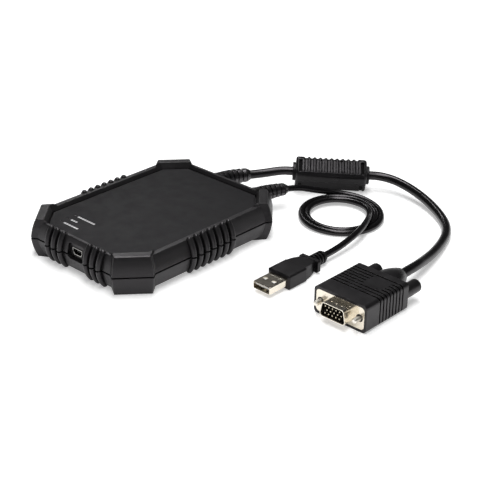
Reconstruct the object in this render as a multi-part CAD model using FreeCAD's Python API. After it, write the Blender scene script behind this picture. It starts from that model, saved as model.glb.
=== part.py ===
import FreeCAD, Part
import math
import os

os.makedirs("parts", exist_ok=True)
V = FreeCAD.Vector
UP = V(0, 0, 1)
BACK = V(0, 1, 0)
LONG = 400.0
OVER = 1.0
TINY = 0.01

# Housing walls, measured at the seam
wall_width = 91.4
wall_length = 119.5
corner_leg_x = 15.1
corner_leg_y = 16.9
seam_z = 11.3
seam_gap = 0.9
wall_bottom_z = 2.4
crest_z = 20.7
crest_inset = 3.1
bottom_inset = 2.4
belly = 0.33

# Corner bumpers
bumper_stand = 3.6
bumper_top_z = 22.3
bumper_draft = 3.1
bumper_depth = 9.0
bumper_top_half = 8.8
bumper_high_half = 10.1
bumper_high_drop = 4.8
bumper_seam_half = 10.9
bumper_low_half = 10.4
bumper_low_rise = 4.8
bumper_foot_half = 9.4
bumper_side_taper = 0.2
bumper_round = 0.9

# Grip ribs
rib_radius = 1.65
rib_stand = 2.3
side_rib_count = 7
side_rib_pitch = 5.0
front_rib_count = 3
front_rib_pitch = 5.2
front_group_spread = 15.9
front_group_x = 0.6
rib_top_inset = 2.75
rib_top_z = 20.45
rib_foot_inset = 3.0
rib_foot_z = 1.9

# Shell interior
shell_wall = 3.5
floor_top_z = 4.4
roof_bottom_z = 15.9
lip_height = 1.8
lip_thickness = 1.0
lip_clearance = 0.1

# Top panel and the rim around it
panel_side_inset = 8.1
panel_end_inset = 6.75
panel_corner_inset = 6.8
panel_thickness = 1.4
panel_z = 18.9
panel_groove = 0.9
rim_side_slope = 1.2
rim_end_slope = 1.2
rim_corner_slope = 0.9
rim_rise = 1.8

# Case screws and posts
screw_side_inset = 11.7
screw_end_inset = 15.25
screw_radius = 1.5
screw_length = 10.5
screw_head_radius = 2.7
screw_head_height = 1.8
screw_clearance = 0.05
post_radius = 3.6
post_meet_z = 11.6
post_joint = 0.5
screw_slot_half = 1.35
screw_slot_width = 0.9
screw_slot_depth = 0.9

# Circuit board
board_side_gap = 15.7
board_front_gap = 5.35
board_back_gap = 16.75
board_thickness = 1.6
standoff_radius = 2.2
standoff_side_inset = 4.0
standoff_front_inset = 27.4
standoff_back_inset = 5.0
chip_sizes = [
    (20.0, 20.0, 1.5, 2.0, 4.0),
    (10.0, 10.0, 1.2, 13.0, -27.0),
    (9.0, 6.0, 1.4, -14.0, 22.0),
]
header_width = 12.0
header_depth = 5.0
header_height = 4.0
header_back_inset = 6.0

# Status lights
light_side_inset = 11.9
light_end_insets = [16.8, 11.8, 6.8]
light_radius = 0.55
light_clearance = 0.05
light_sink = 0.05

# Port in the front
port_x = 1.5
port_z = 13.6
port_width = 12.4
port_height = 8.7
port_corner = 1.6
port_depth = 2.45
socket_width = 7.7
socket_narrow = 5.6
socket_height = 3.9
socket_shoulder = 1.7
socket_wall = 0.35
socket_inset = 2.05
socket_length = 9.2
socket_clearance = 0.2
tongue_width = 3.6
tongue_height = 0.9
tongue_sink = 1.2
tongue_joint = 0.5
socket_back_block = 2.4

# Cord boots in the back wall
boot_middle_x = 2.1
boot_spread = 15.6
boot_z = 11.2
boot_neck_radius = 3.8
boot_neck_clearance = 0.1
boot_flange_radius = 4.5
boot_flange_thickness = 1.8
boot_wall_gap = 0.1
boot_base_radius = 6.3
boot_base_end_radius = 5.7
boot_base_length = 4.8
boot_core_radius = 3.2
boot_ring_count = 6
boot_ring_pitch = 3.35
boot_ring_width = 2.1
boot_ring_first_radius = 5.4
boot_tip_length = 2.2
boot_tip_wall = 0.4
video_boot_turn = 33.0
video_boot_last_radius = 4.2
usb_boot_turn = 28.0
usb_boot_last_radius = 3.7

# Cords
video_cord_diameter = 5.4
video_first_run = 7.0
ferrite_run_in = 7.0
ferrite_run_out = 6.2
video_last_run = 12.0
usb_cord_diameter = 3.7
usb_first_run = 7.0
usb_last_run = 9.6

# Cord routes on the table, between the pieces that they join
video_route = [
    V(54.6, 144.6, 9.0),
    V(61.5, 145.8, 8.2),
    V(71.6, 145.3, 6.9),
    V(83.4, 142.2, 5.5),
    V(94.2, 137.3, 4.5),
    V(103.6, 131.6, 3.8),
    V(111.8, 124.8, 3.2),
    V(118.0, 116.2, 2.9),
    V(122.6, 105.4, 3.0),
    V(126.9, 92.6, 3.9),
    V(130.3, 79.2, 5.2),
]
usb_lead_route = [
    V(31.6, 101.0, 8.0),
    V(37.4, 110.2, 5.6),
    V(44.6, 116.8, 4.2),
    V(52.2, 120.2, 3.2),
    V(59.8, 120.6, 2.4),
    V(66.8, 118.6, 1.9),
]
usb_tail_route = [
    V(72.6, 103.2, 3.9),
    V(77.0, 96.2, 5.4),
    V(81.2, 87.4, 6.2),
    V(84.4, 77.4, 6.2),
    V(86.2, 66.8, 5.6),
]

# Clip-on ferrite: its two end centres, then its case and core
ferrite_left = V(9.6, 106.6, 12.0)
ferrite_right = V(44.4, 137.8, 9.9)
ferrite_collar_length = 1.7
ferrite_collar_radius = 5.6
ferrite_roll = 27.0
ferrite_width = 15.2
ferrite_height = 15.2
ferrite_round = 3.6
ferrite_lower_round = 1.6
ferrite_plain_end = 6.2
ferrite_groove_count = 10
ferrite_groove_widths = [2.4, 1.4]
ferrite_groove_depths = [0.25, 0.55]
ferrite_groove_front = 5.4
ferrite_groove_foot = 2.6
ferrite_slot_from_end = 1.7
ferrite_slot_width = 2.1
ferrite_slot_front = 5.6
ferrite_slot_back = 3.6
ferrite_slot_depth = 3.6
ferrite_latch_wall = 1.0
ferrite_latch_swing = 0.5
ferrite_latch_thickness = 0.7
ferrite_latch_gap = 0.2
ferrite_latch_root = 1.6
ferrite_latch_height = 3.0
ferrite_notch_width = 2.0
ferrite_notch_depth = 1.4
ferrite_notch_height = 2.2
ferrite_dot_radius = 0.6
ferrite_dot_depth = 1.3
ferrite_dot_spread = 12.6
ferrite_dot_y = 3.3
core_radius = 5.0
core_length = 30.0
core_bore_clearance = 0.4
ferrite_lid_clearance = 0.3

# Video plug: centre line, hood, metal face and thumbscrews
video_plug_x = 134.0
video_plug_z = 7.8
hood_front_y = 0.8
hood_length = 34.2
hood_width = 33.6
hood_height = 15.6
hood_round = 2.4
hood_groove_count = 8
hood_groove_pitch = 2.65
hood_groove_start = 10.4
hood_groove_width = 1.0
hood_groove_depth = 0.6
hood_pad_offset = 5.4
hood_pad_width = 12.0
hood_pad_start = 18.2
hood_pad_length = 9.8
hood_pad_corner = 1.5
hump_half_width = 8.2
hump_half_height = 6.6
hump_mid_half_width = 7.5
hump_mid_half_height = 6.1
hump_root = 1.0
hump_mid = 8.5
hump_end_half_width = 4.6
hump_end_half_height = 4.3
hump_length = 15.4
face_width = 30.8
face_height = 12.5
face_thickness = 0.8
face_corner = 2.0
face_clearance = 0.1
dshell_width = 16.9
dshell_height = 8.3
dshell_lean = 1.46
dshell_corner = 1.8
dshell_wall = 0.45
dshell_reach = 5.9
dshell_dimple_radius = 0.55
dshell_dimple_pitch = 3.4
dshell_dimple_depth = 0.25
dshell_dimple_from_rim = 3.2
insulator_sink = 5.0
insulator_length = 9.2
pin_radius = 0.38
pin_pitch = 2.29
pin_row_pitch = 1.98
pin_tip_back = 0.7
screw_spacing = 24.99
thread_radius = 1.42
thread_reach = 4.6
thread_stop = 0.3
thread_tip = 0.5
shank_radius = 1.15
shank_run = 0.08
face_hole_radius = 2.1
knob_radius = 3.7
knob_gap = 0.4
knob_length = 13.0
knob_round = 1.6
knob_socket_depth = 7.0

# USB plug: centre line, shell and overmold
usb_plug_x = 86.7
usb_plug_z = 4.2
usb_tip_y = -5.6
usb_shell_width = 12.0
usb_shell_height = 4.5
usb_shell_wall = 0.5
usb_shell_edge = 0.35
usb_shell_round = 0.6
usb_shell_reach = 13.0
usb_shell_embed = 2.0
usb_hole_width = 2.5
usb_hole_length = 2.1
usb_hole_spread = 6.0
usb_hole_from_tip = 5.4
usb_tongue_height = 1.7
usb_tongue_sink = 1.2
usb_contact_sink = 1.8
usb_tongue_clearance = 0.35
usb_contact_width = 1.1
usb_contact_length = 7.2
usb_contact_height = 0.2
usb_contact_offsets = [-3.5, -1.0, 1.0, 3.5]
usb_body_width = 15.4
usb_body_height = 8.4
usb_body_length = 14.2
usb_body_round = 1.1
usb_body_bevel = 1.0
usb_waist_width = 9.6
usb_waist_height = 6.6
usb_waist_mid_width = 13.2
usb_waist_mid_height = 7.6
usb_waist_mid = 4.6
usb_waist_length = 9.2
usb_flange_gap = 1.2
usb_flange_thickness = 2.2
usb_flange_width = 13.4
usb_flange_height = 7.0
usb_joint = 0.5
usb_relief_length = 10.8
usb_relief_core_radius = 2.6
usb_ring_count = 4
usb_ring_radius = 3.7
usb_ring_width = 1.2
usb_ring_pitch = 2.3
usb_ring_start = 0.8

# Coil of the USB cord
coil_x = 57.3
coil_y = 94.5
coil_outer_radius = 27.0
coil_inner_radius = 17.0

# Values that follow from the sizes above
half_width = wall_width / 2
half_length = wall_length / 2
corner_normal = V(corner_leg_y, corner_leg_x, 0).normalize()
corner_distance = corner_normal.dot(V(half_width, half_length - corner_leg_y, 0))
front_y = -half_length
back_y = half_length
port_back_y = front_y + port_depth
socket_front_y = front_y + socket_inset
panel_half_width = half_width - panel_side_inset
panel_half_length = half_length - panel_end_inset
screw_x = half_width - screw_side_inset
screw_y = half_length - screw_end_inset
board_half_width = half_width - board_side_gap
board_front_y = front_y + board_front_gap
board_back_y = back_y - board_back_gap
standoff_x = board_half_width - standoff_side_inset
standoff_front_y = board_front_y + standoff_front_inset
standoff_back_y = board_back_y - standoff_back_inset
header_y = board_back_y - header_back_inset
light_x = light_side_inset - panel_half_width
light_ys = [inset - panel_half_length for inset in light_end_insets]
video_boot_x = boot_middle_x - boot_spread
usb_boot_x = boot_middle_x + boot_spread
board_top_z = port_z - socket_height / 2


def save(name, shape):
    """Write one node."""
    shape.exportStep("parts/" + name + ".step")


def box(x0, x1, y0, y1, z0, z1):
    """Box between two corners."""
    return Part.makeBox(x1 - x0, y1 - y0, z1 - z0, V(x0, y0, z0))


def face_of(points):
    """Flat face with the given corners."""
    return Part.Face(Part.makePolygon(points + points[:1]))


def rounded_box(x0, x1, y0, y1, z0, z1, radius, direction):
    """Box whose edges along one direction are rounded."""
    solid = box(x0, x1, y0, y1, z0, z1)
    edges = []
    for edge in solid.Edges:
        along = (edge.Vertexes[1].Point - edge.Vertexes[0].Point).normalize()
        if abs(along.dot(direction)) > 0.99:
            edges.append(edge)
    return solid.makeFillet(radius, edges)


def rod(radius, start, end):
    """Round bar between two points."""
    along = end - start
    return Part.makeCylinder(radius, along.Length, start, along)


def pipe(path_edges, radius):
    """Round bar along joined lines and arcs."""
    solids = []
    for edge in path_edges:
        start = edge.valueAt(edge.FirstParameter)
        disc = Part.Face(Part.Wire(Part.makeCircle(radius, start, edge.tangentAt(edge.FirstParameter))))
        if isinstance(edge.Curve, Part.Circle):
            turn = math.degrees(edge.LastParameter - edge.FirstParameter)
            solids.append(disc.revolve(edge.Curve.Center, edge.Curve.Axis, turn))
        else:
            solids.append(disc.extrude(edge.valueAt(edge.LastParameter) - start))
    return solids[0].fuse(solids[1:]) if len(solids) > 1 else solids[0]


def arc_turn(start, along, inward, radius, degrees):
    """Arc that leaves start along one way and turns inward, with its end and end direction."""
    turn = math.radians(degrees)
    centre = start + inward * radius

    def point(angle):
        return centre - inward * (radius * math.cos(angle)) + along * (radius * math.sin(angle))

    edge = Part.Arc(start, point(turn / 2), point(turn)).toShape()
    new_along = along * math.cos(turn) + inward * math.sin(turn)
    new_inward = inward * math.cos(turn) - along * math.sin(turn)
    return edge, point(turn), new_along, new_inward


# Housing shapes
def octagon(half_w, half_l, distance, z):
    """Corners of a rectangle with cut corners."""
    side_y = (distance - corner_normal.x * half_w) / corner_normal.y
    end_x = (distance - corner_normal.y * half_l) / corner_normal.x
    near = [(half_w, side_y), (end_x, half_l)]
    points = [V(x, y, z) for x, y in near]
    points += [V(-x, y, z) for x, y in reversed(near)]
    points += [V(-x, -y, z) for x, y in near]
    points += [V(x, -y, z) for x, y in reversed(near)]
    return points


def octagon_prism(half_w, half_l, distance, z0, z1):
    """Upright block with cut corners."""
    return face_of(octagon(half_w, half_l, distance, z0)).extrude(UP * (z1 - z0))


def inner_prism(inset, z0, z1):
    """Upright block inside the walls."""
    return octagon_prism(half_width - inset, half_length - inset, corner_distance - inset, z0, z1)


def wall_band(normal, distance):
    """Slab between two opposite walls, which lean inwards above and below the seam."""
    across = UP.cross(normal)
    base = across * (-LONG / 2)

    def at(n, z):
        return base + normal * n + UP * z

    edges = []
    for side in (1, -1):
        low = at(side * (distance - bottom_inset), wall_bottom_z)
        low_mid = at(side * (distance - bottom_inset * belly), (wall_bottom_z + seam_z) / 2)
        seam = at(side * distance, seam_z)
        high_mid = at(side * (distance - crest_inset * belly), (crest_z + seam_z) / 2)
        high = at(side * (distance - crest_inset), crest_z)
        edges.append(Part.Arc(low, low_mid, seam).toShape())
        edges.append(Part.Arc(seam, high_mid, high).toShape())
    for z, inset in ((wall_bottom_z, bottom_inset), (crest_z, crest_inset)):
        edges.append(Part.makeLine(at(distance - inset, z), at(inset - distance, z)))
    outline = Part.Wire(Part.sortEdges(edges)[0])
    return Part.Face(outline).extrude(across * LONG)


def bumper(normal):
    """Corner block with a bowed face, cut corners and sides that spread towards the wall."""
    across = UP.cross(normal)
    out = corner_distance + bumper_stand
    inner = corner_distance - bumper_depth
    corner_x = math.copysign(half_width - corner_leg_x / 2, normal.x)
    corner_y = math.copysign(half_length - corner_leg_y / 2, normal.y)
    middle = V(corner_x, corner_y, 0).dot(across)

    def at(n, t, z):
        return normal * n + across * (middle + t) + UP * z

    side = -bumper_seam_half * 2
    foot = at(out - bumper_draft, side, 0)
    foot_mid = at(out - bumper_draft * belly, side, seam_z / 2)
    seam = at(out, side, seam_z)
    top_mid = at(out - bumper_draft * belly, side, (seam_z + bumper_top_z) / 2)
    top = at(out - bumper_draft, side, bumper_top_z)
    inner_top = at(inner, side, bumper_top_z)
    inner_foot = at(inner, side, 0)
    edges = [
        Part.Arc(foot, foot_mid, seam).toShape(),
        Part.Arc(seam, top_mid, top).toShape(),
        Part.makeLine(top, inner_top),
        Part.makeLine(inner_top, inner_foot),
        Part.makeLine(inner_foot, foot),
    ]
    bowed = Part.Face(Part.Wire(edges)).extrude(across * (-2 * side))
    outline = [
        (bumper_foot_half, 0),
        (bumper_low_half, bumper_low_rise),
        (bumper_seam_half, seam_z),
        (bumper_high_half, bumper_top_z - bumper_high_drop),
        (bumper_top_half, bumper_top_z),
    ]

    def section(n):
        spread = (out - n) * bumper_side_taper
        corners = [at(n, t + spread, z) for t, z in outline]
        corners += [at(n, -t - spread, z) for t, z in reversed(outline)]
        return Part.makePolygon(corners + corners[:1])

    block = bowed.common(Part.makeLoft([section(inner), section(out + OVER)], True, True))
    rounded = []
    for edge in block.Edges:
        heights = [vertex.Point.z for vertex in edge.Vertexes]
        reach = min(vertex.Point.dot(normal) for vertex in edge.Vertexes)
        level_seam = min(heights) > seam_z - TINY and max(heights) < seam_z + TINY
        if reach > out - bumper_draft - TINY and not level_seam:
            rounded.append(edge)
    return block.makeFillet(bumper_round, rounded)


def rib(normal, distance, offset):
    """Round rib with ball ends that wraps a wall from the rim down to the underside."""
    across = UP.cross(normal)
    stand = rib_stand - rib_radius
    start = normal * (distance + stand) + across * offset + UP * seam_z
    solids = []
    for way, inset, end_z in ((UP, rib_top_inset, rib_top_z), (UP * -1, rib_foot_inset, rib_foot_z)):
        depth = inset + stand
        rise = abs(end_z - seam_z)
        radius = (depth * depth + rise * rise) / (2 * depth)
        turn = math.degrees(math.asin(rise / radius))
        bend, end, along, inward = arc_turn(start, way, normal * -1, radius, turn)
        ball = Part.makeSphere(rib_radius, end, along, 0, 90)
        solids.append(pipe([bend], rib_radius).fuse(ball))
    return solids


def all_ribs():
    """Ribs of both long sides and of the front."""
    solids = []
    for side in (1, -1):
        for index in range(side_rib_count):
            offset = (index - (side_rib_count - 1) / 2) * side_rib_pitch
            solids += rib(V(side, 0, 0), half_width, offset)
        for index in range(front_rib_count):
            offset = (index - (front_rib_count - 1) / 2) * front_rib_pitch
            solids += rib(V(0, -1, 0), half_length, front_group_x + side * front_group_spread + offset)
    return solids


def panel_pocket(top):
    """Upright pocket of the top panel and the groove around it."""
    return octagon_prism(
        panel_half_width + panel_groove, panel_half_length + panel_groove,
        corner_distance - panel_corner_inset + panel_groove, panel_z - panel_thickness, top,
    )


def rim_recess():
    """Sloped hollow that the rim forms around the top panel."""
    rise = bumper_top_z + OVER - panel_z
    scale = rise / rim_rise
    groove_w = panel_half_width + panel_groove
    groove_l = panel_half_length + panel_groove
    groove_d = corner_distance - panel_corner_inset + panel_groove
    low = octagon(groove_w, groove_l, groove_d, panel_z)
    high = octagon(
        groove_w + rim_side_slope * scale,
        groove_l + rim_end_slope * scale,
        groove_d + rim_corner_slope * scale,
        panel_z + rise,
    )
    wires = [Part.makePolygon(points + points[:1]) for points in (low, high)]
    return Part.makeLoft(wires, True, True)


def screw_places():
    """Centres of the four case screws."""
    return [(x, y) for x in (-screw_x, screw_x) for y in (-screw_y, screw_y)]


def service_cuts():
    """Port recess, socket opening and cord holes, through both shells."""
    recess = rounded_box(
        port_x - port_width / 2, port_x + port_width / 2,
        front_y - rib_stand - OVER, port_back_y,
        port_z - port_height / 2, port_z + port_height / 2,
        port_corner, BACK,
    )
    window = box(
        port_x - socket_width / 2 - socket_clearance, port_x + socket_width / 2 + socket_clearance,
        front_y - OVER, front_y + shell_wall + OVER,
        port_z - socket_height / 2 - socket_clearance, port_z + socket_height / 2 + socket_clearance,
    )
    holes = []
    for x in (video_boot_x, usb_boot_x):
        start = V(x, back_y - shell_wall - OVER, boot_z)
        holes.append(rod(boot_neck_radius + boot_neck_clearance, start, V(x, back_y + OVER, boot_z)))
    return [recess, window] + holes


def housing_outside():
    """Whole outside of the closed housing."""
    diagonals = [corner_normal, V(corner_normal.x, -corner_normal.y, 0)]
    solid = wall_band(V(1, 0, 0), half_width)
    solid = solid.common(wall_band(BACK, half_length))
    for normal in diagonals:
        solid = solid.common(wall_band(normal, corner_distance))
    bumpers = [bumper(normal * side) for normal in diagonals for side in (1, -1)]
    solid = solid.fuse(bumpers)
    solid = solid.cut([rim_recess(), panel_pocket(panel_z)])
    solid = solid.fuse(all_ribs())
    return solid.cut(panel_pocket(bumper_top_z + OVER))


def light_holes(clearance, z0, z1):
    """Holes for the three status lights."""
    radius = light_radius + clearance
    return [rod(radius, V(light_x, y, z0), V(light_x, y, z1)) for y in light_ys]


def top_shell(outside):
    """Upper half of the housing, with its roof and screw posts."""
    bottom = seam_z + seam_gap / 2
    shell = outside.common(box(-LONG, LONG, -LONG, LONG, bottom, LONG))
    lip_top = seam_z + lip_height + lip_clearance
    lip_inset = shell_wall - lip_thickness - lip_clearance
    room = inner_prism(shell_wall, bottom - OVER, roof_bottom_z)
    lip_room = inner_prism(lip_inset, bottom - OVER, lip_top)
    post_top = roof_bottom_z + post_joint
    posts = [rod(post_radius, V(x, y, post_meet_z), V(x, y, post_top)) for x, y in screw_places()]
    shell = shell.cut([room, lip_room]).fuse(posts)
    hole_radius = screw_radius + screw_clearance
    screw_top = wall_bottom_z + screw_head_height + screw_length + screw_clearance
    holes = [rod(hole_radius, V(x, y, post_meet_z - OVER), V(x, y, screw_top)) for x, y in screw_places()]
    lights = light_holes(light_clearance, roof_bottom_z - OVER, panel_z)
    return shell.cut(holes + lights + service_cuts())


def bottom_shell(outside):
    """Lower half of the housing, with its lip, posts and board supports."""
    top = seam_z - seam_gap / 2
    shell = outside.common(box(-LONG, LONG, -LONG, LONG, -OVER, top))
    lip = inner_prism(shell_wall - lip_thickness, top - post_joint, seam_z + lip_height)
    shell = shell.fuse(lip)
    shell = shell.cut(inner_prism(shell_wall, floor_top_z, LONG))
    floor = floor_top_z - post_joint
    posts = [rod(post_radius, V(x, y, floor), V(x, y, post_meet_z)) for x, y in screw_places()]
    board_bottom = board_top_z - board_thickness
    for x in (-standoff_x, standoff_x):
        for y in (standoff_front_y, standoff_back_y):
            posts.append(rod(standoff_radius, V(x, y, floor), V(x, y, board_bottom)))
    shell = shell.fuse(posts)
    holes = []
    for x, y in screw_places():
        holes.append(rod(screw_radius + screw_clearance, V(x, y, 0), V(x, y, post_meet_z + OVER)))
        head_top = wall_bottom_z + screw_head_height
        holes.append(rod(screw_head_radius + screw_clearance, V(x, y, 0), V(x, y, head_top)))
    return shell.cut(holes + service_cuts())


def case_screws():
    """Four screws that close the housing from below."""
    solids = []
    for x, y in screw_places():
        head_top = wall_bottom_z + screw_head_height
        head = rod(screw_head_radius, V(x, y, wall_bottom_z), V(x, y, head_top))
        shank = rod(screw_radius, V(x, y, head_top), V(x, y, head_top + screw_length))
        wide = screw_slot_half
        thin = screw_slot_width / 2
        slot_top = wall_bottom_z + screw_slot_depth
        slots = [
            box(x - wide, x + wide, y - thin, y + thin, 0, slot_top),
            box(x - thin, x + thin, y - wide, y + wide, 0, slot_top),
        ]
        solids.append(head.fuse(shank).cut(slots).removeSplitter())
    return Part.makeCompound(solids)


def top_panel():
    """Smooth plate in the rim's hollow."""
    plate = octagon_prism(
        panel_half_width, panel_half_length, corner_distance - panel_corner_inset,
        panel_z - panel_thickness, panel_z,
    )
    return plate.cut(light_holes(light_clearance, roof_bottom_z, panel_z + OVER))


# Inside the housing
def main_board():
    """Circuit board."""
    return box(
        -board_half_width, board_half_width, board_front_y, board_back_y,
        board_top_z - board_thickness, board_top_z,
    )


def board_chips():
    """Flat packages on the board."""
    solids = []
    for width, length, height, x, y in chip_sizes:
        chip = box(-width / 2, width / 2, -length / 2, length / 2, 0, height)
        solids.append(chip.translated(V(x, y, board_top_z)))
    return Part.makeCompound(solids)


def cord_headers():
    """Two sockets on the board where the cords' wires end."""
    solids = []
    for x in (video_boot_x, usb_boot_x):
        half = header_width / 2
        header = box(-half, half, -header_depth / 2, header_depth / 2, 0, header_height)
        solids.append(header.translated(V(x, header_y, board_top_z)))
    return Part.makeCompound(solids)


def status_lights():
    """Light guides from the board up to the panel."""
    top = panel_z - light_sink
    guides = [rod(light_radius, V(light_x, y, board_top_z), V(light_x, y, top)) for y in light_ys]
    return Part.makeCompound(guides)


def socket_outline(inset, y):
    """Mini port outline, wide side up."""
    wide = socket_width / 2 - inset
    narrow = socket_narrow / 2 - inset
    half = socket_height / 2 - inset
    shoulder = half - socket_shoulder
    right = [(wide, half), (wide, shoulder), (narrow, -half)]
    left = [(-x, z) for x, z in reversed(right)]
    return [V(port_x + x, y, port_z + z) for x, z in right + left]


def mini_socket_shell():
    """Metal shell of the mini port."""
    outer = face_of(socket_outline(0, socket_front_y)).extrude(BACK * socket_length)
    inner = face_of(socket_outline(socket_wall, socket_front_y)).extrude(BACK * socket_length)
    return outer.cut(inner)


def mini_socket_insulator():
    """Back block and tongue of the mini port."""
    back = socket_front_y + socket_length
    start = back - socket_back_block
    block = face_of(socket_outline(socket_wall, start)).extrude(BACK * socket_back_block)
    tongue = box(
        port_x - tongue_width / 2, port_x + tongue_width / 2,
        socket_front_y + tongue_sink, start + tongue_joint,
        port_z - tongue_height / 2, port_z + tongue_height / 2,
    )
    return block.fuse(tongue)


# Cord boots
def boot_bend(x, turn, share=1.0):
    """Bend that a boot follows from its base, or a share of it, with its end and end direction."""
    base_end = V(x, back_y + boot_base_length, boot_z)
    radius = boot_ring_count * boot_ring_pitch / math.radians(turn)
    return arc_turn(base_end, BACK, V(1, 0, 0), radius, turn * share)[:3]


def boot_tip(x, turn):
    """Place and direction in which a cord leaves its boot."""
    end, along = boot_bend(x, turn)[1:]
    return end + along * boot_tip_length, along


def boot(x, turn, last_radius, cord_diameter):
    """Bent, ringed boot that holds a cord in the back wall."""
    inside_y = back_y - shell_wall
    outside_y = back_y + boot_wall_gap
    flange_y = inside_y - boot_flange_thickness
    base_y = back_y + boot_base_length
    flange = rod(boot_flange_radius, V(x, flange_y, boot_z), V(x, inside_y, boot_z))
    neck = rod(boot_neck_radius, V(x, flange_y, boot_z), V(x, outside_y + OVER, boot_z))
    base = Part.makeCone(
        boot_base_radius, boot_base_end_radius, base_y - outside_y, V(x, outside_y, boot_z), BACK
    )
    bend, end, along = boot_bend(x, turn)
    core = pipe([bend], boot_core_radius)
    tip = Part.makeCone(last_radius, cord_diameter / 2 + boot_tip_wall, boot_tip_length, end, along)
    rings = []
    for index in range(boot_ring_count):
        share = (index + 0.5) / boot_ring_count
        centre, ring_along = boot_bend(x, turn, share)[1:]
        ring_radius = boot_ring_first_radius + (last_radius - boot_ring_first_radius) * share
        half = ring_along * (boot_ring_width / 2)
        rings.append(rod(ring_radius, centre - half, centre + half))
    return base.fuse([neck, flange, core, tip] + rings)


# Cord routes
def rounded_route(points):
    """Straight runs joined by arcs as large as the runs allow, with the arcs' radii."""
    edges = []
    radii = []
    last = points[0]
    for before, here, after in zip(points, points[1:], points[2:]):
        to_before = (before - here).normalize()
        to_after = (after - here).normalize()
        turn = math.pi - to_before.getAngle(to_after)
        reach = 0.45 * min((before - here).Length, (after - here).Length)
        radius = reach / math.tan(turn / 2)
        arc_start = here + to_before * reach
        arc_end = here + to_after * reach
        middle = (to_before + to_after).normalize()
        centre = here + middle * math.hypot(reach, radius)
        arc_middle = centre - middle * radius
        edges.append(Part.makeLine(last, arc_start))
        edges.append(Part.Arc(arc_start, arc_middle, arc_end).toShape())
        radii.append(round(radius, 1))
        last = arc_end
    edges.append(Part.makeLine(last, points[-1]))
    return edges, radii


def cord_tube(name, points, diameter):
    """Tube along a route, with its sizes printed."""
    edges, radii = rounded_route(points)
    tube = pipe(edges, diameter / 2)
    length = sum(edge.Length for edge in edges)
    expected = math.pi * diameter * diameter / 4 * length
    print(name, "length", round(length, 1), "radii", radii, "volume ratio", round(tube.Volume / expected, 4))
    return tube


def video_cord_inner():
    """Video cord from its boot to the ferrite."""
    start, along = boot_tip(video_boot_x, video_boot_turn)
    axis = (ferrite_right - ferrite_left).normalize()
    route = [start, start + along * video_first_run, ferrite_left - axis * ferrite_run_in, ferrite_left]
    return cord_tube("video_cord_inner", route, video_cord_diameter)


def video_cord_outer():
    """Video cord from the ferrite to its plug."""
    axis = (ferrite_right - ferrite_left).normalize()
    plug_end = V(video_plug_x, hood_front_y + hood_length + hump_length, video_plug_z)
    route = [ferrite_right, ferrite_right + axis * ferrite_run_out] + video_route
    route += [plug_end + BACK * video_last_run, plug_end]
    return cord_tube("video_cord_outer", route, video_cord_diameter)


def usb_cord_lead():
    """USB cord from its boot to the coil."""
    start, along = boot_tip(usb_boot_x, usb_boot_turn)
    route = [start, start + along * usb_first_run] + usb_lead_route
    return cord_tube("usb_cord_lead", route, usb_cord_diameter)


def usb_cord_tail():
    """USB cord from the coil, over its turns, to the plug."""
    plug_end = V(usb_plug_x, usb_plug_end_y(), usb_plug_z)
    route = usb_tail_route + [plug_end + BACK * usb_last_run, plug_end]
    return cord_tube("usb_cord_tail", route, usb_cord_diameter)


def usb_cord_coil():
    """Outer shape of the two turns that lie on the table."""
    centre = V(coil_x, coil_y, 0)
    ring = Part.makeCylinder(coil_outer_radius, usb_cord_diameter, centre)
    return ring.cut(Part.makeCylinder(coil_inner_radius, usb_cord_diameter, centre))


# Clip-on ferrite, built along X about its own centre and then put in place
ferrite_span = (ferrite_right - ferrite_left).Length
ferrite_half = ferrite_span / 2 - ferrite_collar_length


def ferrite_place(shape):
    """Move a ferrite piece from its own frame to its place on the cord."""
    axis = (ferrite_right - ferrite_left).normalize()
    level_side = UP.cross(axis).normalize()
    level_lift = axis.cross(level_side)
    roll = math.radians(ferrite_roll)
    side = level_side * math.cos(roll) + level_lift * math.sin(roll)
    lift = level_lift * math.cos(roll) - level_side * math.sin(roll)
    middle = (ferrite_left + ferrite_right) * 0.5
    matrix = FreeCAD.Matrix(
        axis.x, side.x, lift.x, middle.x,
        axis.y, side.y, lift.y, middle.y,
        axis.z, side.z, lift.z, middle.z,
        0, 0, 0, 1,
    )
    placed = shape.copy()
    placed.Placement = FreeCAD.Placement(matrix)
    return placed


def ferrite_block(side, inset, radius):
    """One half of the case as a plain block, above or below the parting plane."""
    half_w = ferrite_width / 2 - inset
    tall = ferrite_height / 2 - inset
    z0, z1 = (0, tall) if side > 0 else (-tall, 0)
    block = box(-ferrite_half, ferrite_half, -half_w, half_w, z0, z1)
    edges = []
    for edge in block.Edges:
        ends = [vertex.Point for vertex in edge.Vertexes]
        lengthwise = abs(ends[0].x - ends[1].x) > ferrite_half
        if lengthwise and abs(ends[0].z) > tall - TINY:
            edges.append(edge)
    return block.makeFillet(radius, edges)


def ferrite_collars(side):
    """Half rings at both ends of the case."""
    z0, z1 = (0, LONG) if side > 0 else (-LONG, 0)
    ring = rod(ferrite_collar_radius, V(-ferrite_span / 2, 0, 0), V(ferrite_span / 2, 0, 0))
    return ring.common(box(-LONG, LONG, -LONG, LONG, z0, z1))


def ferrite_hollow(clearance):
    """Room for the core and for the cord."""
    core = rod(core_radius, V(-core_length / 2, 0, 0), V(core_length / 2, 0, 0))
    bore = rod(video_cord_diameter / 2 + clearance, V(-LONG, 0, 0), V(LONG, 0, 0))
    return [core, bore]


def ferrite_slot_starts():
    """Low ends of the two slots along the case, where the latches stand too."""
    outer = ferrite_half - ferrite_slot_from_end
    return [-outer, outer - ferrite_slot_width]


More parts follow.
